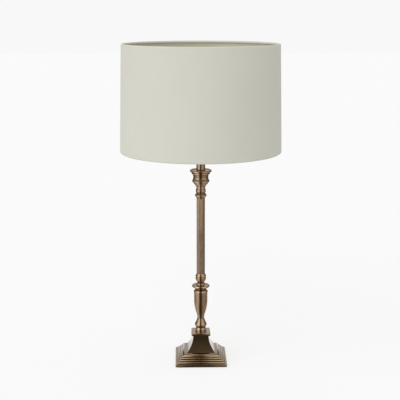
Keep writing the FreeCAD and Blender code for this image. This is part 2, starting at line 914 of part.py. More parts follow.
def lampholder_parts(foot):
    """The lampholder and its rings, and the heights of its floor and of the shade's hub."""
    body_foot = foot + holder_boss_rise + holder_dome_rise + holder_cap_skirt
    barrel_foot = body_foot + holder_body_rise
    floor = barrel_foot - core_sink
    bar_height = floor - bar_drop
    ring_foot = barrel_foot + barrel_flange_rise
    hub_foot = ring_foot + seat_ring_rise + face_clear
    shell = tube(shell_dia, shell_dia - 2 * shell_wall, floor, floor + shell_rise)
    return {
        "holder_cap": holder_cap(foot),
        "grub_screw": grub_screw(foot),
        "holder_body": holder_body(body_foot, bar_height),
        "holder_barrel": holder_barrel(barrel_foot),
        "holder_core": holder_core(floor),
        "screw_shell": shell,
        "centre_contact": rod(contact_dia, floor, floor + contact_rise),
        "terminals": Part.makeCompound(terminals(floor - core_floor)),
        "terminal_screws": Part.makeCompound(terminal_screws(floor - core_floor)),
        "switch_bar": switch_bar(bar_height),
        "seat_ring": seat_ring(ring_foot),
        "shade_ring": shade_ring(hub_foot + hub_thick + face_clear),
    }, floor, hub_foot


def shade_parts(hub_foot):
    low_wire = shade_bottom + roll_outer
    high_wire = shade_bottom + shade_height - roll_outer
    notches = carrier_arms(arm_start(hub_foot), low_wire, arm_dia + 2 * rod_clear)
    low_edge = rolled_edge(low_wire, -1)
    for notch in notches:
        low_edge = low_edge.cut(notch)
    lining_inset = cover_thick + glue_line
    return {
        "shade_cover": shade_skin(0, cover_thick, low_wire, high_wire),
        "shade_lining": shade_skin(
            lining_inset, lining_thick, low_wire + wire_dia / 2, high_wire - wire_dia / 2
        ),
        "seam_strip": seam_strip(low_wire, high_wire),
        "top_edge": rolled_edge(high_wire, 1),
        "bottom_edge": low_edge,
        "top_wire": wire_ring(high_wire),
        "bottom_wire": wire_ring(low_wire),
        "shade_carrier": shade_carrier(hub_foot, low_wire),
    }


def build():
    parts, rod_foot = base_parts()
    column, holder_foot = column_parts()
    parts.update(column)
    parts["tie_rod"] = tube(rod_dia, rod_bore_dia, rod_foot, holder_foot + rod_into_holder)
    holder, floor, hub_foot = lampholder_parts(holder_foot)
    parts.update(holder)
    parts.update(bulb_pieces(floor + contact_rise + face_clear))
    parts.update(shade_parts(hub_foot))
    return parts


parts = build()
os.makedirs("parts", exist_ok=True)
for node, shape in parts.items():
    shape.exportStep("parts/" + node + ".step")
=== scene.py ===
import json
import math

import bmesh
import bpy
from mathutils import Matrix, Vector, noise


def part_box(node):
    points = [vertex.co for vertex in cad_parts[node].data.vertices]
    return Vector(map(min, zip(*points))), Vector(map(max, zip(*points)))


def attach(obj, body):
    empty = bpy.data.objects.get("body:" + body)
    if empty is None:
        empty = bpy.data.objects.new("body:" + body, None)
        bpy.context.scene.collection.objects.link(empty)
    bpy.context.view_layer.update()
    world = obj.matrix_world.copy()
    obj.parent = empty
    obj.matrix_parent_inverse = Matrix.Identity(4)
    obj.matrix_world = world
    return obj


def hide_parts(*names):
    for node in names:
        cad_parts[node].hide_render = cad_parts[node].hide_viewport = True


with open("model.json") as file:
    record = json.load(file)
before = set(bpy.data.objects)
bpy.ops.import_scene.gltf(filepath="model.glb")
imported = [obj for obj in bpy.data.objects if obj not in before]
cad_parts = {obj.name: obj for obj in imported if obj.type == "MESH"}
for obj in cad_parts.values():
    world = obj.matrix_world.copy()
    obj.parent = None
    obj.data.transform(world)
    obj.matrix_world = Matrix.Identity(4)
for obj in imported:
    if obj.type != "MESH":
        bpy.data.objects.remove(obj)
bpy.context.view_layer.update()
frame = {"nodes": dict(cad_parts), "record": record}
nodes = frame["nodes"]
record = frame["record"]
slot_of = {part["node"]: part["material_slot"] for part in record["subparts"]}
body_of = {node: body for body, members in record["behaviour"]["bodies"].items() for node in members}

MM = 0.001
TURN = 2 * math.pi
IMAGE_SIDE = 400

# Camera, fitted to the picture's ellipses and to the base's square
FOCAL_PX = 952.0
SENSOR = 36.0
CAMERA_PLACE = (-0.0465, -2.0495, 0.789)
CAMERA_DOWN = math.atan(0.2053)
CAMERA_YAW = math.radians(-1.252)
CAMERA_REACH = 100.0

# Floor and light
FLOOR_REACH = 14.0
FLOOR_LIT = 0.80
FLOOR_SHADED = 0.35
FLOOR_GLOW = 0.64
BACKGROUND = 0.939
AMBIENT = 0.70
KEY_STRENGTH = 1.15
KEY_AZIMUTH = math.radians(-42)
KEY_HEIGHT = math.radians(35)
KEY_SPREAD = math.radians(70)

# What the metal mirrors: by azimuth from the front, in degrees, the radiance at each rise of SURROUND_RISES
SURROUND_RISES = (2, 20, 38, 82)
BACK_WALL = (0.62, 0.62, 0.80, 0.60)
BACK_CARD = (0.10, 0.10, 0.45, 0.50)
SIDE_CARD = (0.12, 0.12, 0.40, 0.50)
FRONT_CARD = (0.08, 0.10, 0.12, 0.12)
SURROUND = (
    (-180, BACK_WALL),
    (-157, BACK_WALL),
    (-150, BACK_CARD),
    (-128, SIDE_CARD),
    (-112, (0.24, 0.26, 0.50, 0.60)),
    (-90, (0.44, 0.55, 0.80, 0.80)),
    (-70, (0.78, 1.20, 1.50, 0.90)),
    (-55, (1.02, 2.00, 2.20, 0.90)),
    (-42, (1.14, 2.20, 2.20, 0.80)),
    (-32, (0.98, 1.70, 1.70, 0.60)),
    (-22, (0.42, 0.70, 0.70, 0.30)),
    (-15, FRONT_CARD),
    (9, FRONT_CARD),
    (17, (0.36, 0.80, 0.90, 0.40)),
    (28, (0.52, 1.20, 1.30, 0.60)),
    (48, (0.52, 1.20, 1.30, 0.80)),
    (68, (0.48, 0.90, 1.10, 0.80)),
    (88, (0.34, 0.55, 0.80, 0.60)),
    (110, (0.18, 0.20, 0.40, 0.50)),
    (130, SIDE_CARD),
    (150, BACK_CARD),
    (157, BACK_WALL),
    (180, BACK_WALL),
)
# The bowl that carries it: the radius and height of each ring
SURROUND_RINGS = (
    (0.03, 0.0008), (0.12, 0.0015), (0.25, 0.003), (0.5, 0.01), (0.9, 0.03), (1.3, 0.12), (1.6, 0.30),
    (1.7, 0.6), (1.65, 1.0), (1.5, 1.4), (1.2, 1.8), (0.9, 2.0), (0.6, 2.12), (0.3, 2.2), (0.04, 2.22),
)
SURROUND_SIDES = 240
# How far behind the column its azimuths and rises are taken
SURROUND_CENTRE = 0.10
# The pale floor close behind the lamp, past an azimuth, gives way to the cards between two reaches
SURROUND_BEHIND = 90
SURROUND_NEAR = (0.32, 0.50)
SURROUND_NEAR_GLOW = 0.90
# The colour of its dimmest places, and the radiance from which it is neutral
SURROUND_WARM = (1.0, 0.84, 0.58)
SURROUND_WARM_TO = 0.6

# Reading outlines: a key is a place in whole micrometres, and a level is the same within a few of them
MICRONS = 1e6
SAME_LEVEL = 3
OFF_SEAM = 3e-6
SLACK = 1e-6
SAME_PLACE = 1e-7
# Neighbours that turn little and are alike in length lie on one arc, and a kink or more is a corner
SMOOTH_TURN = math.radians(18.5)
LIKE_LENGTHS = 0.04
STRAIGHT = 1e-4
KINK = math.radians(1.5)
SHARPEST = math.radians(150)

# Meshing
ARC_STEP = math.radians(8)
ROUND_STEP = math.radians(30)
ROUND_REACH = 0.4
EDGE_ROUND = 0.2 * MM
LINEN_ROUND = 0.1 * MM
GROOVE_ROUND = 0.08 * MM
RELIEF_REACH = 2.2 * MM
RELIEF_FULL = 0.4
ROUND_SIDES = 128
SHADE_SIDES = 240
CORNER_SIDES = 4
CROWN = math.radians(18)
CROWN_REACH = 1.7
CASTING_CORNER = 0.6 * MM
CAP_CORNER = 1.8 * MM
PAD_CORNER = 4.0 * MM

# Threads, cut on nearly upright stretches of more than THREAD_RUN steps, and the rings' grips
LAMP_THREAD_PITCH = 3.62 * MM
LAMP_THREAD_DEPTH = 1.0 * MM
BARREL_THREAD_PITCH = 2.4 * MM
BARREL_THREAD_DEPTH = 0.5 * MM
THREAD_STEPS = 10
THREAD_RUN = 6
THREAD_LEAN = 0.5
GRIP_COUNT = 30
GRIP_SIDES = 8
GRIP_DEPTH = 0.7 * MM
GRIP_BAND = 0.985
GRIP_SHARPNESS = 3

# Welds at the carrier's hub: each bead's radii, how far out and down it sits, and how lumpy it is
ARM_COUNT = 3
ARM_FIRST = TURN / 4
WELD_RADII = (2.8 * MM, 2.4 * MM, 2.0 * MM)
WELD_OUT = 1.9 * MM
WELD_DROP = 1.7 * MM
WELD_LUMP = 0.22
WELD_LUMP_SCALE = 1.7
WELD_LUMP_STEP = 5.0
WELD_SIDES = 32
WELD_RINGS = 20

# The lead inlet's holes in the casting
INLET_CLEAR = 0.3 * MM
INLET_DEPTH = 4.0 * MM
INLET_RIM = 0.95
HOLE_SIDES = 48

# Aged brass: the scale of each mark per metre, and how much it darkens
NOISE_SPAN = (0.3, 0.7)
PATCHES = 42.0
PATCH_TONE = 0.45
SPECKS = 420.0
SPECK_TONE = 0.12
GROOVE_TONE = 0.75
RUBS = 160.0
RUB_SPAN = (0.55, 1.0)
TURNING_MARKS = 2600.0
CAST_GRAIN = 700.0
MARK_STRENGTH = 0.25
MARK_DEPTH = 0.04 * MM
COAT_ROUGHNESS = 0.08

# The tube's tone: painted shade darker downwards, painted highlight streaks, a painted shaded side, and
# fine lines
# Painted shade: the dark colour's share at the darkening's foot and at the top, and how far up that foot is
TUBE_PAINTED_SHADE = (0.96, 0.05)
TUBE_PAINTED_SHADE_FOOT = 0.35
# Painted highlight streaks, with painted shade between them, set round the bearing from the front
TUBE_PAINTED_STREAKS = 6
TUBE_PAINTED_STREAK_TURN = math.radians(-6)
TUBE_PAINTED_STREAK_DEPTH = 0.55
# Painted shade on the tube's right side, seen from the front, and a paler left side
TUBE_PAINTED_SIDE_SHADE = 0.40
TUBE_LINES = 380.0
TUBE_LINE_LENGTH = 0.03
TUBE_LINE_TONE = 0.10

# Plain parts and the bulb's glass: the scale of their patches and grain per metre, and how far gloss varies
PLAIN_PATCHES = 60.0
PLAIN_GLOSSES = 130.0
PLAIN_GLOSS = (0.85, 1.15)
PLAIN_STRENGTH = 0.4
OPAL_PATCHES = 30.0
OPAL_GRAIN = 1500.0
OPAL_STRENGTH = 0.2
OPAL_DEPTH = 0.02 * MM

# The linen's weave, laid out round the shade at its mean radius
WEAVE_RADIUS = 172.5 * MM
WEAVE_PITCH = 0.8 * MM
WEAVE_DEPTH = 0.12 * MM
WEAVE_STRENGTH = 0.35
SLUBS_ACROSS = 1400.0
SLUBS_ALONG = 18.0
LEVEL_SEED = 3.0
CLOUDS = 9.0
SLUB_TONE = 0.7
CLOUD_TONE = 0.3


# Outlines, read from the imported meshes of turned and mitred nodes

def part_way(a, b, share):
    """The place at this share of the straight way from a to b."""
    return tuple(a[n] + (b[n] - a[n]) * share for n in (0, 1))


def key_of(half, height):
    return (round(half * MICRONS), round(height * MICRONS))


def section(node, mitred):
    """Points and edges of a node's mesh on the seam, or on one mitred corner, by (half, height)."""
    mesh = nodes[node].data
    where = {}
    for vertex in mesh.vertices:
        x, y, z = vertex.co
        off_plane = abs(x + y) if mitred else abs(y)
        if off_plane < OFF_SEAM and x > -SLACK:
            where[vertex.index] = (max(x, 0.0), z)
    points = {key_of(*place): place for place in where.values()}
    near = {key: set() for key in points}
    for edge in mesh.edges:
        a, b = edge.vertices
        if a in where and b in where:
            a = key_of(*where[a])
            b = key_of(*where[b])
            if a != b:
                near[a].add(b)
                near[b].add(a)
    return points, near


def bridge_flats(near):
    """Links the loose ends that face each other across a flat ring at one height."""
    loose = sorted((key for key in near if len(near[key]) == 1), key=lambda key: (key[1], key[0]))
    for a, b in zip(loose, loose[1:]):
        if abs(a[1] - b[1]) <= SAME_LEVEL and len(near[a]) == 1 and len(near[b]) == 1:
            near[a].add(b)
            near[b].add(a)


def outline(node, mitred=False):
    """The node's outline walked up its outside from its lowest point, and whether it closes on itself."""
    points, near = section(node, mitred)
    bridge_flats(near)
    on_axis = [key for key in near if len(near[key]) == 1 and key[0] == 0]
    if on_axis:
        start = max(on_axis, key=lambda key: key[1])
    else:
        low = min(key[1] for key in near)
        start = max((key for key in near if key[1] <= low + SAME_LEVEL), key=lambda key: key[0])
    walked = [start]
    onward = max(near[start], key=lambda key: (key[1], -key[0]))
    while onward is not None and onward != start:
        walked.append(onward)
        ahead = [key for key in near[onward] if key not in walked[-2:]]
        onward = ahead[0] if ahead else None
    closed = onward == start
    if on_axis or (closed and doubled_area(walked) < 0):
        walked.reverse()
    return [points[key] for key in walked], closed


def doubled_area(corners):
    """Twice the area inside a closed outline: negative where it is walked clockwise."""
    return sum(a[0] * b[1] - b[0] * a[1] for a, b in zip(corners, corners[1:] + corners[:1]))


def capped(points):
    """The open outline carried on to the axis at both ends: a flat disc has no point in its middle."""
    low = [(0.0, points[0][1])] if points[0][0] > 0 else []
    high = [(0.0, points[-1][1])] if points[-1][0] > 0 else []
    return low + points + high


def divided(points, step):
    """The outline with its long upright stretches cut into short ones, for a thread."""
    made = [points[0]]
    for a, b in zip(points, points[1:]):
        upright = abs(b[0] - a[0]) < SLACK and abs(b[1] - a[1]) > THREAD_RUN * step
        pieces = math.ceil(abs(b[1] - a[1]) / step) if upright else 1
        made.extend(part_way(a, b, k / pieces) for k in range(1, pieces + 1))
    return made


# Outlines made fine, as lists of (half, height, heading)

def heading(a, b):
    return math.atan2(b[1] - a[1], b[0] - a[0])


def wrapped(angle):
    return (angle + math.pi) % TURN - math.pi


def bends(points, closed):
    """Each segment's heading and its bend, judged by neighbours of its own length: nought on a line."""
    count = len(points)
    spans = count if closed else count - 1
    run = [math.dist(points[i], points[(i + 1) % count]) for i in range(spans)]
    way = [heading(points[i], points[(i + 1) % count]) for i in range(spans)]
    found = []
    for i in range(spans):
        turns = []
        for j, sign in ((i - 1, 1), (i + 1, -1)):
            if not closed and not 0 <= j < spans:
                continue
            j %= spans
            turn = sign * wrapped(way[i] - way[j])
            if abs(turn) < SMOOTH_TURN and abs(run[i] - run[j]) < LIKE_LENGTHS * run[i]:
                turns.append(turn)
        found.append(sum(turns) / len(turns) if turns else 0.0)
    return way, found


def on_arc(a, b, bend, share):
    """A point on the arc from a to b that turns left by bend."""
    radius = math.dist(a, b) / (2 * math.sin(bend / 2))
    start = heading(a, b) - bend / 2
    turned = start + bend * share
    return (
        a[0] + radius * (math.sin(turned) - math.sin(start)),
        a[1] - radius * (math.cos(turned) - math.cos(start)),
    )


def fine_outline(points, closed, edge_round=EDGE_ROUND):
    """The outline with its arcs restored and its corners eased."""
    count = len(points)
    way, bend = bends(points, closed)
    fine = []
    for i in range(len(way)):
        a = points[i]
        b = points[(i + 1) % count]
        pieces = max(1, math.ceil(abs(bend[i]) / ARC_STEP))
        for k in range(pieces + 1):
            share = k / pieces
            straight = abs(bend[i]) < STRAIGHT
            place = part_way(a, b, share) if straight else on_arc(a, b, bend[i], share)
            fine.append((*place, way[i] + bend[i] * (share - 0.5)))
    return eased(fine, closed, edge_round)


def eased(fine, closed, edge_round):
    """Joins segments: one point where they run on smoothly, and a small round at each corner."""
    count = len(fine)
    made = []
    i = 0
    while i < count:
        half, height, way = fine[i]
        last = i == count - 1
        after = fine[(i + 1) % count]
        apart = math.dist((half, height), after[:2]) >= SAME_PLACE
        if apart or (last and not closed):
            made.append((half, height, way))
            i += 1
            continue
        turn = wrapped(after[2] - way)
        if abs(turn) < KINK:
            made.append((half, height, way + turn / 2))
        else:
            radius = edge_round if turn > 0 else GROOVE_ROUND
            beyond = fine[(i + 2) % count]
            room = min(math.dist(place[:2], (half, height)) for place in (fine[i - 1], beyond))
            made.extend(corner_round(half, height, way, turn, radius, room))
        i += 2
        if last:
            made[0] = made.pop()
    return made


def corner_round(half, height, way, turn, radius, room):
    """The points of a small round in place of a corner, where the shorter side has this much room."""
    back = min(radius * math.tan(min(abs(turn), SHARPEST) / 2), ROUND_REACH * room)
    steps = max(1, math.ceil(abs(turn) / ROUND_STEP))
    a = (half - back * math.cos(way), height - back * math.sin(way))
    b = (half + back * math.cos(way + turn), height + back * math.sin(way + turn))
    made = []
    for k in range(steps + 1):
        place = on_arc(a, b, turn, k / steps)
        made.append((max(place[0], 0.0), place[1], way + turn * k / steps))
    return made


def reliefs(fine, closed):
    """How deep each point lies below its neighbours' chord, from -1 on an edge to 1 in a groove."""
    found = []
    for i, (half, height, way) in enumerate(fine):
        back, onward = (reached(fine, closed, i, step) for step in (-1, 1))
        out = (back[0] + onward[0]) / 2 - half
        up = (back[1] + onward[1]) / 2 - height
        proud = out * math.sin(way) - up * math.cos(way)
        found.append(max(-1.0, min(1.0, proud / (RELIEF_FULL * RELIEF_REACH))))
    return found


def reached(fine, closed, i, step):
    """The place that lies RELIEF_REACH along the outline from its point i, or the outline's end."""
    count = len(fine)
    place = fine[i][:2]
    gone = 0.0
    while gone < RELIEF_REACH:
        k = i + step
        if closed:
            k %= count
        elif not 0 <= k < count:
            break
        length = math.dist(fine[i][:2], fine[k][:2])
        if gone + length > RELIEF_REACH:
            return part_way(fine[i], fine[k], (RELIEF_REACH - gone) / length)
        gone += length
        i = k
        place = fine[i][:2]
    return place


# Meshes spun from an outline, round or square

def round_places(sides):
    """Places round a turned piece: a centre, a direction out of it, and the direction it shades by."""
    ways = [(math.cos(TURN * k / sides), math.sin(TURN * k / sides)) for k in range(sides)]
    return [((0.0, 0.0), way, way) for way in ways]


def square_places():
    """Places round a mitred piece, fanned out at its eased corners. Its faces shade as if crowned."""
    places = []
    for corner in range(4):
        first = TURN * corner / 4
        middle = first + TURN / 8
        centre = (round(math.cos(middle) * math.sqrt(2)), round(math.sin(middle) * math.sqrt(2)))
        for k in range(CORNER_SIDES + 1):
            angle = first + TURN / 4 * k / CORNER_SIDES
            lean = first + CROWN + (TURN / 4 - 2 * CROWN) * k / CORNER_SIDES
            places.append((centre, (math.cos(angle), math.sin(angle)), (math.cos(lean), math.sin(lean))))
    return places


def spun_mesh(name, fine, closed, places, corner=None, shift=None):
    """A mesh from a fine outline. A square one's corners are eased, and a shift moves points in or out."""
    verts = []
    normals = []
    rings = []
    relief = []
    depth = reliefs(fine, closed)
    for index, (half, height, way) in enumerate(fine):
        if half < SAME_PLACE:
            rings.append([len(verts)])
            verts.append((0.0, 0.0, height))
            normals.append((0.0, 0.0, -1.0 if math.cos(way) > 0 else 1.0))
            relief.append(depth[index])
            continue
        out = math.sin(way)
        up = -math.cos(way)
        rounding = wrapped(fine[(index + 1) % len(fine)][2] - fine[index - 1][2])
        tilt = min(1.0, CROWN_REACH * abs(up)) if rounding > KINK else 0.0
        rings.append(list(range(len(verts), len(verts) + len(places))))
        for centre, direction, lean in places:
            soft = half if corner is None else min(corner, half)
            moved = shift(half, height, way, direction) if shift else 0.0
            x, y = ((half - soft) * centre[n] + (soft + moved) * direction[n] for n in (0, 1))
            verts.append((x, y, height))
            out_x, out_y = (direction[n] + (lean[n] - direction[n]) * tilt for n in (0, 1))
            normals.append((out * out_x, out * out_y, up))
            relief.append(depth[index])
    mesh = bpy.data.meshes.new(name)
    mesh.from_pydata(verts, [], skin(rings, closed))
    mesh.polygons.foreach_set("use_smooth", [True] * len(mesh.polygons))
    attribute = mesh.attributes.new("relief", "FLOAT", "POINT")
    attribute.data.foreach_set("value", relief)
    mesh.validate()
    if shift is None:
        mesh.normals_split_custom_set_from_vertices(normals)
    return mesh


def skin(rings, closed):
    """The faces between rings of vertices, where a ring of one vertex is a point on the axis."""
    faces = []
    pairs = list(zip(rings, rings[1:]))
    if closed:
        pairs.append((rings[-1], rings[0]))
    for low, high in pairs:
        sides = max(len(low), len(high))
        if sides == 1:
            continue
        for k in range(sides):
            m = (k + 1) % sides
            if len(low) == 1:
                faces.append((low[0], high[m], high[k]))
            elif len(high) == 1:
                faces.append((low[k], low[m], high[0]))
            else:
                faces.append((low[k], low[m], high[m], high[k]))
    return faces


def threaded(low, high, pitch, depth):
    """A screw thread that sinks below the outline between two heights, and runs out at both."""
    def shift(half, height, way, direction):
        if not low < height < high or abs(math.cos(way)) > THREAD_LEAN:
            return 0.0
        turned = TURN * height / pitch - math.atan2(direction[1], direction[0])
        run_out = min(1.0, (height - low) / pitch, (high - height) / pitch)
        return -depth * (0.5 - 0.5 * math.cos(turned)) * run_out
    return shift


def gripped(rim):
    """Rounded notches round the rim, for the fingers."""
    def shift(half, height, way, direction):
        if half < GRIP_BAND * rim:
            return 0.0
        turned = GRIP_COUNT * math.atan2(direction[1], direction[0])
        return -GRIP_DEPTH * (0.5 - 0.5 * math.cos(turned)) ** GRIP_SHARPNESS
    return shift


def bar_along_y(radius, near, far, height):
    """A round bar along y, from one place on it to another, at one height."""
    mesh = bpy.data.meshes.new("bar")
    shape = bmesh.new()
    bmesh.ops.create_cone(
        shape, cap_ends=True, segments=HOLE_SIDES, radius1=radius, radius2=radius, depth=far - near)
    bmesh.ops.rotate(shape, verts=shape.verts, cent=(0, 0, 0), matrix=Matrix.Rotation(TURN / 4, 3, "X"))
    bmesh.ops.translate(shape, verts=shape.verts, vec=(0, (near + far) / 2, height))
    shape.to_mesh(mesh)
    shape.free()
    return mesh


def without(mesh, cutters):
    """The mesh with the closed cutters taken out of it."""
    block = bpy.data.objects.new("block", mesh)
    tools = [bpy.data.objects.new("tool", cutter) for cutter in cutters]
    for thing in [block] + tools:
        bpy.context.scene.collection.objects.link(thing)
    for tool in tools:
        cut = block.modifiers.new("cut", "BOOLEAN")
        cut.operation = "DIFFERENCE"
        cut.solver = "EXACT"
        cut.object = tool
    bpy.context.view_layer.update()
    made = bpy.data.meshes.new_from_object(block.evaluated_get(bpy.context.evaluated_depsgraph_get()))
    for thing in [block] + tools:
        bpy.data.objects.remove(thing)
    return made


# Materials

class Finish:
    """A procedural material around one principled shader, with coordinates taken from the piece itself."""

    def __init__(self, **values):
        self.material = bpy.data.materials.new("finish")
        self.material.use_nodes = True
        self.tree = self.material.node_tree
        self.shader = self.tree.nodes["Principled BSDF"]
        for socket, value in values.items():
            self.shader.inputs[socket.replace("_", " ")].default_value = value
        self.place = self.add("ShaderNodeTexCoord").outputs["Object"]
        split = self.add("ShaderNodeSeparateXYZ", Vector=self.place)
        self.x, self.y, self.z = (split.outputs[n] for n in range(3))

    def add(self, kind, settings=None, **inputs):
        node = self.tree.nodes.new(kind)
        for name, value in (settings or {}).items():
            setattr(node, name, value)
        for name, value in inputs.items():
            self.feed(node.inputs[name.replace("_", " ")], value)
        return node

    def feed(self, socket, value):
        if isinstance(value, bpy.types.NodeSocket):
            self.tree.links.new(value, socket)
        else:
            socket.default_value = value

    def set(self, socket, value):
        self.feed(self.shader.inputs[socket], value)

    def math(self, operation, *values):
        node = self.add("ShaderNodeMath", {"operation": operation})
        for index, value in enumerate(values):
            self.feed(node.inputs[index], value)
        return node.outputs[0]

    def times(self, a, b):
        return self.math("MULTIPLY", a, b)

    def plus(self, a, b):
        return self.math("ADD", a, b)

    def vector(self, x, y, z):
        return self.add("ShaderNodeCombineXYZ", X=x, Y=y, Z=z).outputs[0]

    def ranged(self, value, onto, span=(0.0, 1.0)):
        """The value stretched from its span onto another one, and held inside that."""
        node = self.add("ShaderNodeMapRange", {"clamp": True}, Value=value)
        for name, number in zip(("From Min", "From Max", "To Min", "To Max"), (*span, *onto)):
            node.inputs[name].default_value = number
        return node.outputs[0]

    def noise(self, vector, scale, detail=2.0, onto=(0.0, 1.0)):
        """Noise stretched from its usual span onto another one."""
        node = self.add("ShaderNodeTexNoise", Vector=vector, Scale=scale, Detail=detail)
        return self.ranged(node.outputs[0], onto, NOISE_SPAN)

    def mixed(self, share, a, b):
        node = self.add("ShaderNodeMix", {"data_type": "RGBA"})
        self.feed(node.inputs[0], share)
        for socket, colour in ((node.inputs[6], a), (node.inputs[7], b)):
            self.feed(socket, colour if isinstance(colour, bpy.types.NodeSocket) else (*colour, 1.0))
        return node.outputs[2]

    def radius(self):
        squares = [self.math("POWER", side, 2.0) for side in (self.x, self.y)]
        return self.math("SQRT", self.plus(*squares))

    def bearing(self):
        """The angle round the axis from the front, which is nought on the side of negative y."""
        return self.math("ARCTAN2", self.x, self.times(self.y, -1.0))

    def bump(self, height, strength, distance):
        node = self.add("ShaderNodeBump", Height=height, Strength=strength, Distance=distance)
        self.set("Normal", node.outputs[0])


def brass(light, dark, worn, rough, turned=True, coat=0.3, metallic=1.0, rim=None, painted_tube_light=False):
    """Aged brass: brown in grooves and paler on worn edges, with fine turning marks or casting grain. On
    the tube it also carries painted shade and painted highlights.
    """
    finish = Finish(Metallic=metallic, Coat_Weight=coat, Coat_Roughness=COAT_ROUGHNESS)
    if rim:
        finish.set("Specular Tint", (*rim, 1.0))
    relief = finish.add("ShaderNodeAttribute", {"attribute_name": "relief"}).outputs["Fac"]
    groove = finish.math("MAXIMUM", relief, 0.0)
    edge = finish.math("MAXIMUM", finish.times(relief, -1.0), 0.0)
    aged = finish.times(finish.noise(finish.place, PATCHES, detail=4.0), PATCH_TONE)
    aged = finish.plus(aged, finish.times(finish.noise(finish.place, SPECKS, detail=3.0), SPECK_TONE))
    aged = finish.plus(aged, finish.times(groove, GROOVE_TONE))
    # The tube's painted light: highlight streaks, a shaded side and shade towards the foot, all painted
    if painted_tube_light:
        aged = finish.plus(aged, tube_tone_and_painted_light(finish))
    share = finish.add("ShaderNodeClamp", Value=aged).outputs[0]
    rubbed = finish.times(edge, finish.noise(finish.place, RUBS, detail=3.0, onto=RUB_SPAN))
    finish.set("Base Color", finish.mixed(rubbed, finish.mixed(share, light, dark), worn))
    finish.set("Roughness", finish.ranged(share, rough))
    if turned:
        marks = finish.noise(finish.vector(finish.radius(), 0.0, finish.z), TURNING_MARKS)
    else:
        marks = finish.noise(finish.place, CAST_GRAIN, detail=3.0)
    finish.bump(marks, MARK_STRENGTH, MARK_DEPTH)
    return finish.material


def tube_tone_and_painted_light(finish):
    """A tube's tone: painted shade darker downwards, painted highlight streaks and a painted shaded side
    round its bearing from the front, and fine lines along it.
    """
    low, high = (corner.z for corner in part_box("column_tube"))
    foot = low + TUBE_PAINTED_SHADE_FOOT * (high - low)
    # Painted shade: darker towards the bottom
    painted_shade = finish.ranged(finish.z, TUBE_PAINTED_SHADE, (foot, high))
    around = finish.bearing()
    turned = finish.math("MULTIPLY_ADD", around, float(TUBE_PAINTED_STREAKS), TUBE_PAINTED_STREAKS * TUBE_PAINTED_STREAK_TURN)
    # Painted highlight streaks, fixed round the bearing from the front
    painted_streak = finish.times(finish.math("COSINE", turned), -TUBE_PAINTED_STREAK_DEPTH)
    # Painted shade on one side of the tube, and paler colour on the other
    side = finish.times(finish.math("SINE", around), TUBE_PAINTED_SIDE_SHADE)
    along = finish.vector(finish.x, finish.y, finish.times(finish.z, TUBE_LINE_LENGTH))
    lines = finish.noise(along, TUBE_LINES, onto=(-TUBE_LINE_TONE, TUBE_LINE_TONE))
    return finish.plus(painted_shade, finish.plus(finish.plus(painted_streak, side), lines))


def plain(colour, rough, metallic=0.0, grain=900.0, depth=0.03 * MM, uneven=0.12):
    """A plain part's finish with a fine grain, and a little unevenness in its colour and gloss."""
    finish = Finish(Metallic=metallic)
    darker = tuple(channel * (1 - uneven) for channel in colour)
    patches = finish.noise(finish.place, PLAIN_PATCHES, detail=3.0)
    finish.set("Base Color", finish.mixed(patches, colour, darker))
    gloss = tuple(rough * share for share in PLAIN_GLOSS)
    finish.set("Roughness", finish.ranged(finish.noise(finish.place, PLAIN_GLOSSES), gloss))
    finish.bump(finish.noise(finish.place, grain), PLAIN_STRENGTH, depth)
    return finish.material


def linen(colour, pale):
    """Plain-woven linen, its threads upright and level, with slubs where a thread thickens."""
    finish = Finish(Roughness=0.88, Sheen_Weight=0.12, Sheen_Roughness=0.5, Specular_IOR_Level=0.25)
    around = finish.times(finish.bearing(), WEAVE_RADIUS)
    warp = finish.math("SINE", finish.times(around, TURN / WEAVE_PITCH))
    weft = finish.math("SINE", finish.times(finish.z, TURN / WEAVE_PITCH))
    across = [finish.times(place, SLUBS_ACROSS) for place in (around, finish.z)]
    along = [finish.times(place, SLUBS_ALONG) for place in (around, finish.z)]
    upright = finish.vector(across[0], 0.0, along[1])
    level = finish.vector(along[0], LEVEL_SEED, across[1])
    slub = finish.times(finish.plus(finish.noise(upright, 1.0), finish.noise(level, 1.0)), 0.5)
    cloud = finish.noise(finish.place, CLOUDS)
    share = finish.plus(finish.times(slub, SLUB_TONE), finish.times(cloud, CLOUD_TONE))
    finish.set("Base Color", finish.mixed(share, colour, pale))
    over = finish.times(finish.times(warp, weft), 0.5)
    finish.bump(finish.plus(over, slub), WEAVE_STRENGTH, WEAVE_DEPTH)
    return finish.material


def opal(colour, shaded):
    """Opal glass, which light spreads in, with a slightly uneven colour."""
    finish = Finish(Roughness=0.3, Subsurface_Weight=0.3, Subsurface_Scale=4.0 * MM)
    finish.shader.inputs["Subsurface Radius"].default_value = (1.0, 0.9, 0.8)
    finish.set("Base Color", finish.mixed(finish.noise(finish.place, OPAL_PATCHES), colour, shaded))
    finish.bump(finish.noise(finish.place, OPAL_GRAIN, detail=1.0), OPAL_STRENGTH, OPAL_DEPTH)
    return finish.material


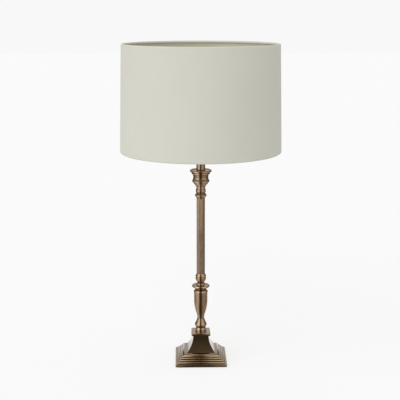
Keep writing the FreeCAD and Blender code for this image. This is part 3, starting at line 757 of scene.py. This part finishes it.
FINISHES = {
    "antique_brass": brass(
        light=(0.45, 0.30, 0.185), dark=(0.17, 0.105, 0.055), worn=(0.54, 0.38, 0.25), rough=(0.12, 0.26),
        coat=0.7, rim=(0.75, 0.65, 0.55)),
    "cast_brass": brass(
        light=(0.34, 0.23, 0.125), dark=(0.18, 0.115, 0.05), worn=(0.46, 0.33, 0.21), rough=(0.14, 0.28),
        coat=1.0, turned=False),
    # Its light and dark colours carry the tube's painted highlight streaks and painted shade
    "tube_brass": brass(
        light=(0.64, 0.43, 0.275), dark=(0.11, 0.08, 0.06), worn=(0.46, 0.33, 0.22), rough=(0.52, 0.60),
        coat=0.0, metallic=0.85, rim=(0.5, 0.42, 0.34), painted_tube_light=True),
    "holder_brass": brass(
        light=(0.60, 0.45, 0.22), dark=(0.38, 0.27, 0.12), worn=(0.70, 0.55, 0.32), rough=(0.18, 0.30)),
    "contact_brass": brass(
        light=(0.68, 0.52, 0.26), dark=(0.50, 0.37, 0.17), worn=(0.75, 0.60, 0.35), rough=(0.22, 0.35),
        coat=0.0),
    "felt": plain((0.045, 0.045, 0.045), 0.95, grain=2500.0, depth=0.25 * MM, uneven=0.3),
    "ballast_iron": plain((0.10, 0.10, 0.10), 0.55, metallic=0.6, grain=600.0, depth=0.1 * MM),
    "steel": plain((0.60, 0.60, 0.60), 0.3, metallic=1.0),
    "dark_plastic": plain((0.05, 0.035, 0.025), 0.35),
    "insulator": plain((0.03, 0.03, 0.03), 0.4),
    "bulb_nickel": plain((0.70, 0.69, 0.66), 0.22, metallic=1.0),
    "bulb_plastic": plain((0.85, 0.85, 0.83), 0.4, uneven=0.04),
    "opal": opal((0.86, 0.86, 0.83), (0.82, 0.82, 0.79)),
    "linen": linen((0.675, 0.67, 0.595), (0.63, 0.62, 0.54)),
    "lining": plain((0.56, 0.55, 0.42), 0.5, grain=1200.0, uneven=0.05),
    "wire_white": plain((0.80, 0.80, 0.77), 0.4, uneven=0.05),
}
for name, material in FINISHES.items():
    material.name = name


# Pieces

def dressed(node, mesh, finish=None, piece_name=None):
    """The mesh as the form of a node, or as a piece on it, with the node's body and slot."""
    piece = bpy.data.objects.new(piece_name or node + "_form", mesh)
    bpy.context.scene.collection.objects.link(piece)
    mesh.materials.append(FINISHES[finish or slot_of[node]])
    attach(piece, body_of[node])
    if piece_name is None:
        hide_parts(node)
    return piece


def turned_piece(node, sides=ROUND_SIDES, edge_round=EDGE_ROUND, thread_step=None, shift=None):
    points, closed = outline(node)
    if not closed:
        points = capped(points)
    if thread_step:
        points = divided(points, thread_step)
    fine = fine_outline(points, closed, edge_round)
    return dressed(node, spun_mesh(node + "_form", fine, closed, round_places(sides), shift=shift))


def threaded_piece(node, pitch, depth):
    low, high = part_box(node)
    return turned_piece(node, thread_step=pitch / THREAD_STEPS, shift=threaded(low.z, high.z, pitch, depth))


def square_piece(node, points, corner, finish, cutters=()):
    """A mitred piece from its open outline, with a finish of its own that need not be its slot's."""
    mesh = spun_mesh(node + "_form", fine_outline(capped(points), False), False, square_places(), corner)
    if cutters:
        mesh = without(mesh, cutters)
        mesh.name = node + "_form"
    return dressed(node, mesh, finish)


def base():
    """The felt, the casting with its plate recess and lead inlet, and the cap."""
    low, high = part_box("base_pad")
    felt = square_piece("base_pad", [(high.x, low.z), (high.x, high.z)], PAD_CORNER, "felt")
    casting = outline("base_casting", mitred=True)[0]
    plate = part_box("base_plate")[1]
    recess = [(plate.x, plate.z), (plate.x, casting[0][1])]
    square_piece("base_casting", recess + casting, CASTING_CORNER, "cast_brass", inlet_cutters(plate.x))
    square_piece("base_cap", outline("base_cap", mitred=True)[0], CAP_CORNER, "cast_brass")


def inlet_cutters(half):
    """The counterbore that the bush's flange sits in, and the hole for its body."""
    low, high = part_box("cable_bush")
    height = (low.z + high.z) / 2
    flange = high.x
    corners = [vertex.co for vertex in nodes["cable_bush"].data.vertices]
    seat = min(corner.y for corner in corners if corner.x > INLET_RIM * flange)
    body = max(corner.x for corner in corners if corner.y < low.y + INLET_CLEAR)
    return [
        bar_along_y(flange + INLET_CLEAR, seat, half + flange, height),
        bar_along_y(body, low.y - INLET_DEPTH, seat + INLET_CLEAR, height),
    ]


def column():
    """The turned pieces from the cap up to the shade."""
    lower = ("foot_collar", "baluster", "vase_collar", "drip_disc", "knop")
    upper = ("column_tube", "upper_collar", "candle_cup", "neck_sleeve")
    for node in lower + upper:
        turned_piece(node)


def lampholder():
    for node in ("holder_cap", "holder_core"):
        turned_piece(node)
    for node in ("seat_ring", "shade_ring"):
        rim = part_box(node)[1].x
        turned_piece(node, GRIP_COUNT * GRIP_SIDES, shift=gripped(rim))
    threaded_piece("holder_barrel", BARREL_THREAD_PITCH, BARREL_THREAD_DEPTH)
    threaded_piece("screw_shell", LAMP_THREAD_PITCH, LAMP_THREAD_DEPTH)


def bulb():
    threaded_piece("bulb_cap", LAMP_THREAD_PITCH, LAMP_THREAD_DEPTH)
    for node in ("bulb_insulator", "bulb_contact", "bulb_collar", "bulb_dome"):
        turned_piece(node)


def weld_beads():
    """A lumpy bead where each of the carrier's arms meets the edge of its hub."""
    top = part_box("shade_carrier")[1].z
    corners = [vertex.co for vertex in nodes["shade_carrier"].data.vertices]
    rim = max(corner.xy.length for corner in corners if top - corner.z < SLACK)
    shape = bmesh.new()
    for k in range(ARM_COUNT):
        place = Matrix.Rotation(ARM_FIRST + TURN * k / ARM_COUNT, 4, "Z")
        place @= Matrix.Translation((rim + WELD_OUT, 0.0, top - WELD_DROP))
        place @= Matrix.Diagonal((*WELD_RADII, 1.0))
        bead = bmesh.ops.create_uvsphere(shape, u_segments=WELD_SIDES, v_segments=WELD_RINGS, radius=1.0)
        for vertex in bead["verts"]:
            spot = WELD_LUMP_SCALE * vertex.co + Vector((WELD_LUMP_STEP * k, 0.0, 0.0))
            vertex.co = place @ ((1.0 + WELD_LUMP * noise.noise(spot)) * vertex.co)
    mesh = bpy.data.meshes.new("weld_beads")
    shape.to_mesh(mesh)
    shape.free()
    mesh.polygons.foreach_set("use_smooth", [True] * len(mesh.polygons))
    dressed("shade_carrier", mesh, piece_name="weld_beads")


def shade():
    """The linen on its lining, its edges rolled over the rings, and the carrier's welds."""
    weld_beads()
    turned_piece("shade_lining", SHADE_SIDES, LINEN_ROUND)
    edges = [turned_piece(node, SHADE_SIDES, LINEN_ROUND) for node in ("top_edge", "bottom_edge")]
    cover = turned_piece("shade_cover", SHADE_SIDES, LINEN_ROUND)
    corners = outline("shade_cover")[0]


base()
column()
lampholder()
bulb()
shade()

for node, thing in nodes.items():
    thing.data.materials.clear()
    thing.data.materials.append(FINISHES[slot_of[node]])


# Floor, light and camera

def grey(level):
    return (level, level, level, 1.0)


def new_node(tree, kind, *values):
    """A node whose first sockets are set to the values."""
    node = tree.nodes.new(kind)
    for socket, value in zip(node.inputs, values):
        socket.default_value = value
    return node


def stage_material(name):
    """A material with its tree emptied, for the caller to fill."""
    material = bpy.data.materials.new(name)
    material.use_nodes = True
    material.node_tree.nodes.clear()
    return material


def by_ray(tree, lighting, seen):
    """One shader for the light on the object, and another for what the camera, metal and glass see."""
    path = tree.nodes.new("ShaderNodeLightPath")
    either = path.outputs["Is Camera Ray"]
    for ray in ("Is Glossy Ray", "Is Transmission Ray"):
        largest = tree.nodes.new("ShaderNodeMath")
        largest.operation = "MAXIMUM"
        tree.links.new(either, largest.inputs[0])
        tree.links.new(path.outputs[ray], largest.inputs[1])
        either = largest.outputs[0]
    mix = tree.nodes.new("ShaderNodeMixShader")
    tree.links.new(either, mix.inputs[0])
    tree.links.new(lighting.outputs[0], mix.inputs[1])
    tree.links.new(seen.outputs[0], mix.inputs[2])
    return mix


def world_light():
    world = bpy.data.worlds.new("studio")
    bpy.context.scene.world = world
    world.use_nodes = True
    tree = world.node_tree
    tree.nodes.clear()
    dim = new_node(tree, "ShaderNodeBackground", grey(1.0), AMBIENT)
    bright = new_node(tree, "ShaderNodeBackground", grey(BACKGROUND), 1.0)
    out = tree.nodes.new("ShaderNodeOutputWorld")
    tree.links.new(by_ray(tree, dim, bright).outputs[0], out.inputs[0])


def floor():
    """A pale floor that keeps the lamp's shadow, and is seen as a little brighter than it lights."""
    material = stage_material("pale_floor")
    tree = material.node_tree
    lit = new_node(tree, "ShaderNodeBsdfDiffuse", grey(FLOOR_LIT))
    shaded = new_node(tree, "ShaderNodeBsdfDiffuse", grey(FLOOR_SHADED))
    glow = new_node(tree, "ShaderNodeEmission", grey(1.0), FLOOR_GLOW)
    both = tree.nodes.new("ShaderNodeAddShader")
    tree.links.new(shaded.outputs[0], both.inputs[0])
    tree.links.new(glow.outputs[0], both.inputs[1])
    out = tree.nodes.new("ShaderNodeOutputMaterial")
    tree.links.new(by_ray(tree, lit, both).outputs[0], out.inputs[0])
    mesh = bpy.data.meshes.new("floor")
    corners = [(x * FLOOR_REACH, y * FLOOR_REACH, 0.0) for x, y in ((-1, -1), (1, -1), (1, 1), (-1, 1))]
    mesh.from_pydata(corners, [], [(0, 1, 2, 3)])
    mesh.materials.append(material)
    ground = bpy.data.objects.new("floor", mesh)
    bpy.context.scene.collection.objects.link(ground)


def between(value, stops, found):
    """The value's place among the stops, carried over to what is found at each of them."""
    if value <= stops[0]:
        return found[0]
    for a, b, at_a, at_b in zip(stops, stops[1:], found, found[1:]):
        if value <= b:
            return at_a + (at_b - at_a) * (value - a) / (b - a)
    return found[-1]


def surround_glow(x, y, z):
    """Radiance of the surround at a place, from its azimuth and rise about a point behind the column."""
    y -= SURROUND_CENTRE
    reach = math.hypot(x, y)
    azimuth = math.degrees(math.atan2(x, -y))
    rise = math.degrees(math.atan2(z, reach))
    at_rise = [between(rise, SURROUND_RISES, row) for _, row in SURROUND]
    glow = between(azimuth, [stop for stop, _ in SURROUND], at_rise)
    if abs(azimuth) > SURROUND_BEHIND:
        glow = between(reach, SURROUND_NEAR, (SURROUND_NEAR_GLOW, glow))
    return glow


def surround():
    """Soft boxes and black cards round the lamp, as one bowl that only reflections see."""
    verts = []
    glow = []
    for radius, height in SURROUND_RINGS:
        for k in range(SURROUND_SIDES):
            angle = TURN * k / SURROUND_SIDES
            place = (radius * math.cos(angle), radius * math.sin(angle), height)
            verts.append(place)
            radiance = surround_glow(*place)
            pale = min(1.0, radiance / SURROUND_WARM_TO)
            glow.extend(radiance * (warm + (1.0 - warm) * pale) for warm in SURROUND_WARM)
            glow.append(1.0)
    starts = [SURROUND_SIDES * ring for ring in range(len(SURROUND_RINGS))]
    rings = [list(range(start, start + SURROUND_SIDES)) for start in starts]
    mesh = bpy.data.meshes.new("surround")
    mesh.from_pydata(verts, [], skin(rings, False))
    attribute = mesh.attributes.new("glow", "FLOAT_COLOR", "POINT")
    attribute.data.foreach_set("color", glow)
    mesh.materials.append(surround_material())
    bowl = bpy.data.objects.new("surround", mesh)
    bpy.context.scene.collection.objects.link(bowl)
    bowl.visible_camera = False
    bowl.visible_diffuse = False
    bowl.visible_transmission = False
    bowl.visible_shadow = False


def surround_material():
    material = stage_material("surround")
    tree = material.node_tree
    strength = tree.nodes.new("ShaderNodeAttribute")
    strength.attribute_name = "glow"
    light = new_node(tree, "ShaderNodeEmission", grey(1.0), 1.0)
    tree.links.new(strength.outputs["Color"], light.inputs[0])
    out = tree.nodes.new("ShaderNodeOutputMaterial")
    tree.links.new(light.outputs[0], out.inputs[0])
    return material


def key_light():
    lamp = bpy.data.lights.new("key", "SUN")
    lamp.energy = KEY_STRENGTH
    lamp.angle = KEY_SPREAD
    key = bpy.data.objects.new("key", lamp)
    bpy.context.scene.collection.objects.link(key)
    key.visible_glossy = False
    towards = Vector((
        math.sin(KEY_AZIMUTH) * math.cos(KEY_HEIGHT),
        -math.cos(KEY_AZIMUTH) * math.cos(KEY_HEIGHT),
        math.sin(KEY_HEIGHT),
    ))
    key.rotation_euler = towards.to_track_quat("Z", "Y").to_euler()


def camera():
    data = bpy.data.cameras.new("camera")
    data.sensor_width = SENSOR
    data.lens = FOCAL_PX / IMAGE_SIDE * SENSOR
    data.clip_end = CAMERA_REACH
    thing = bpy.data.objects.new("camera", data)
    bpy.context.scene.collection.objects.link(thing)
    thing.location = CAMERA_PLACE
    thing.rotation_euler = (math.pi / 2 - CAMERA_DOWN, 0.0, CAMERA_YAW)
    bpy.context.scene.camera = thing


world_light()
floor()
surround()
key_light()
camera()
bpy.context.scene.view_settings.view_transform = "Standard"
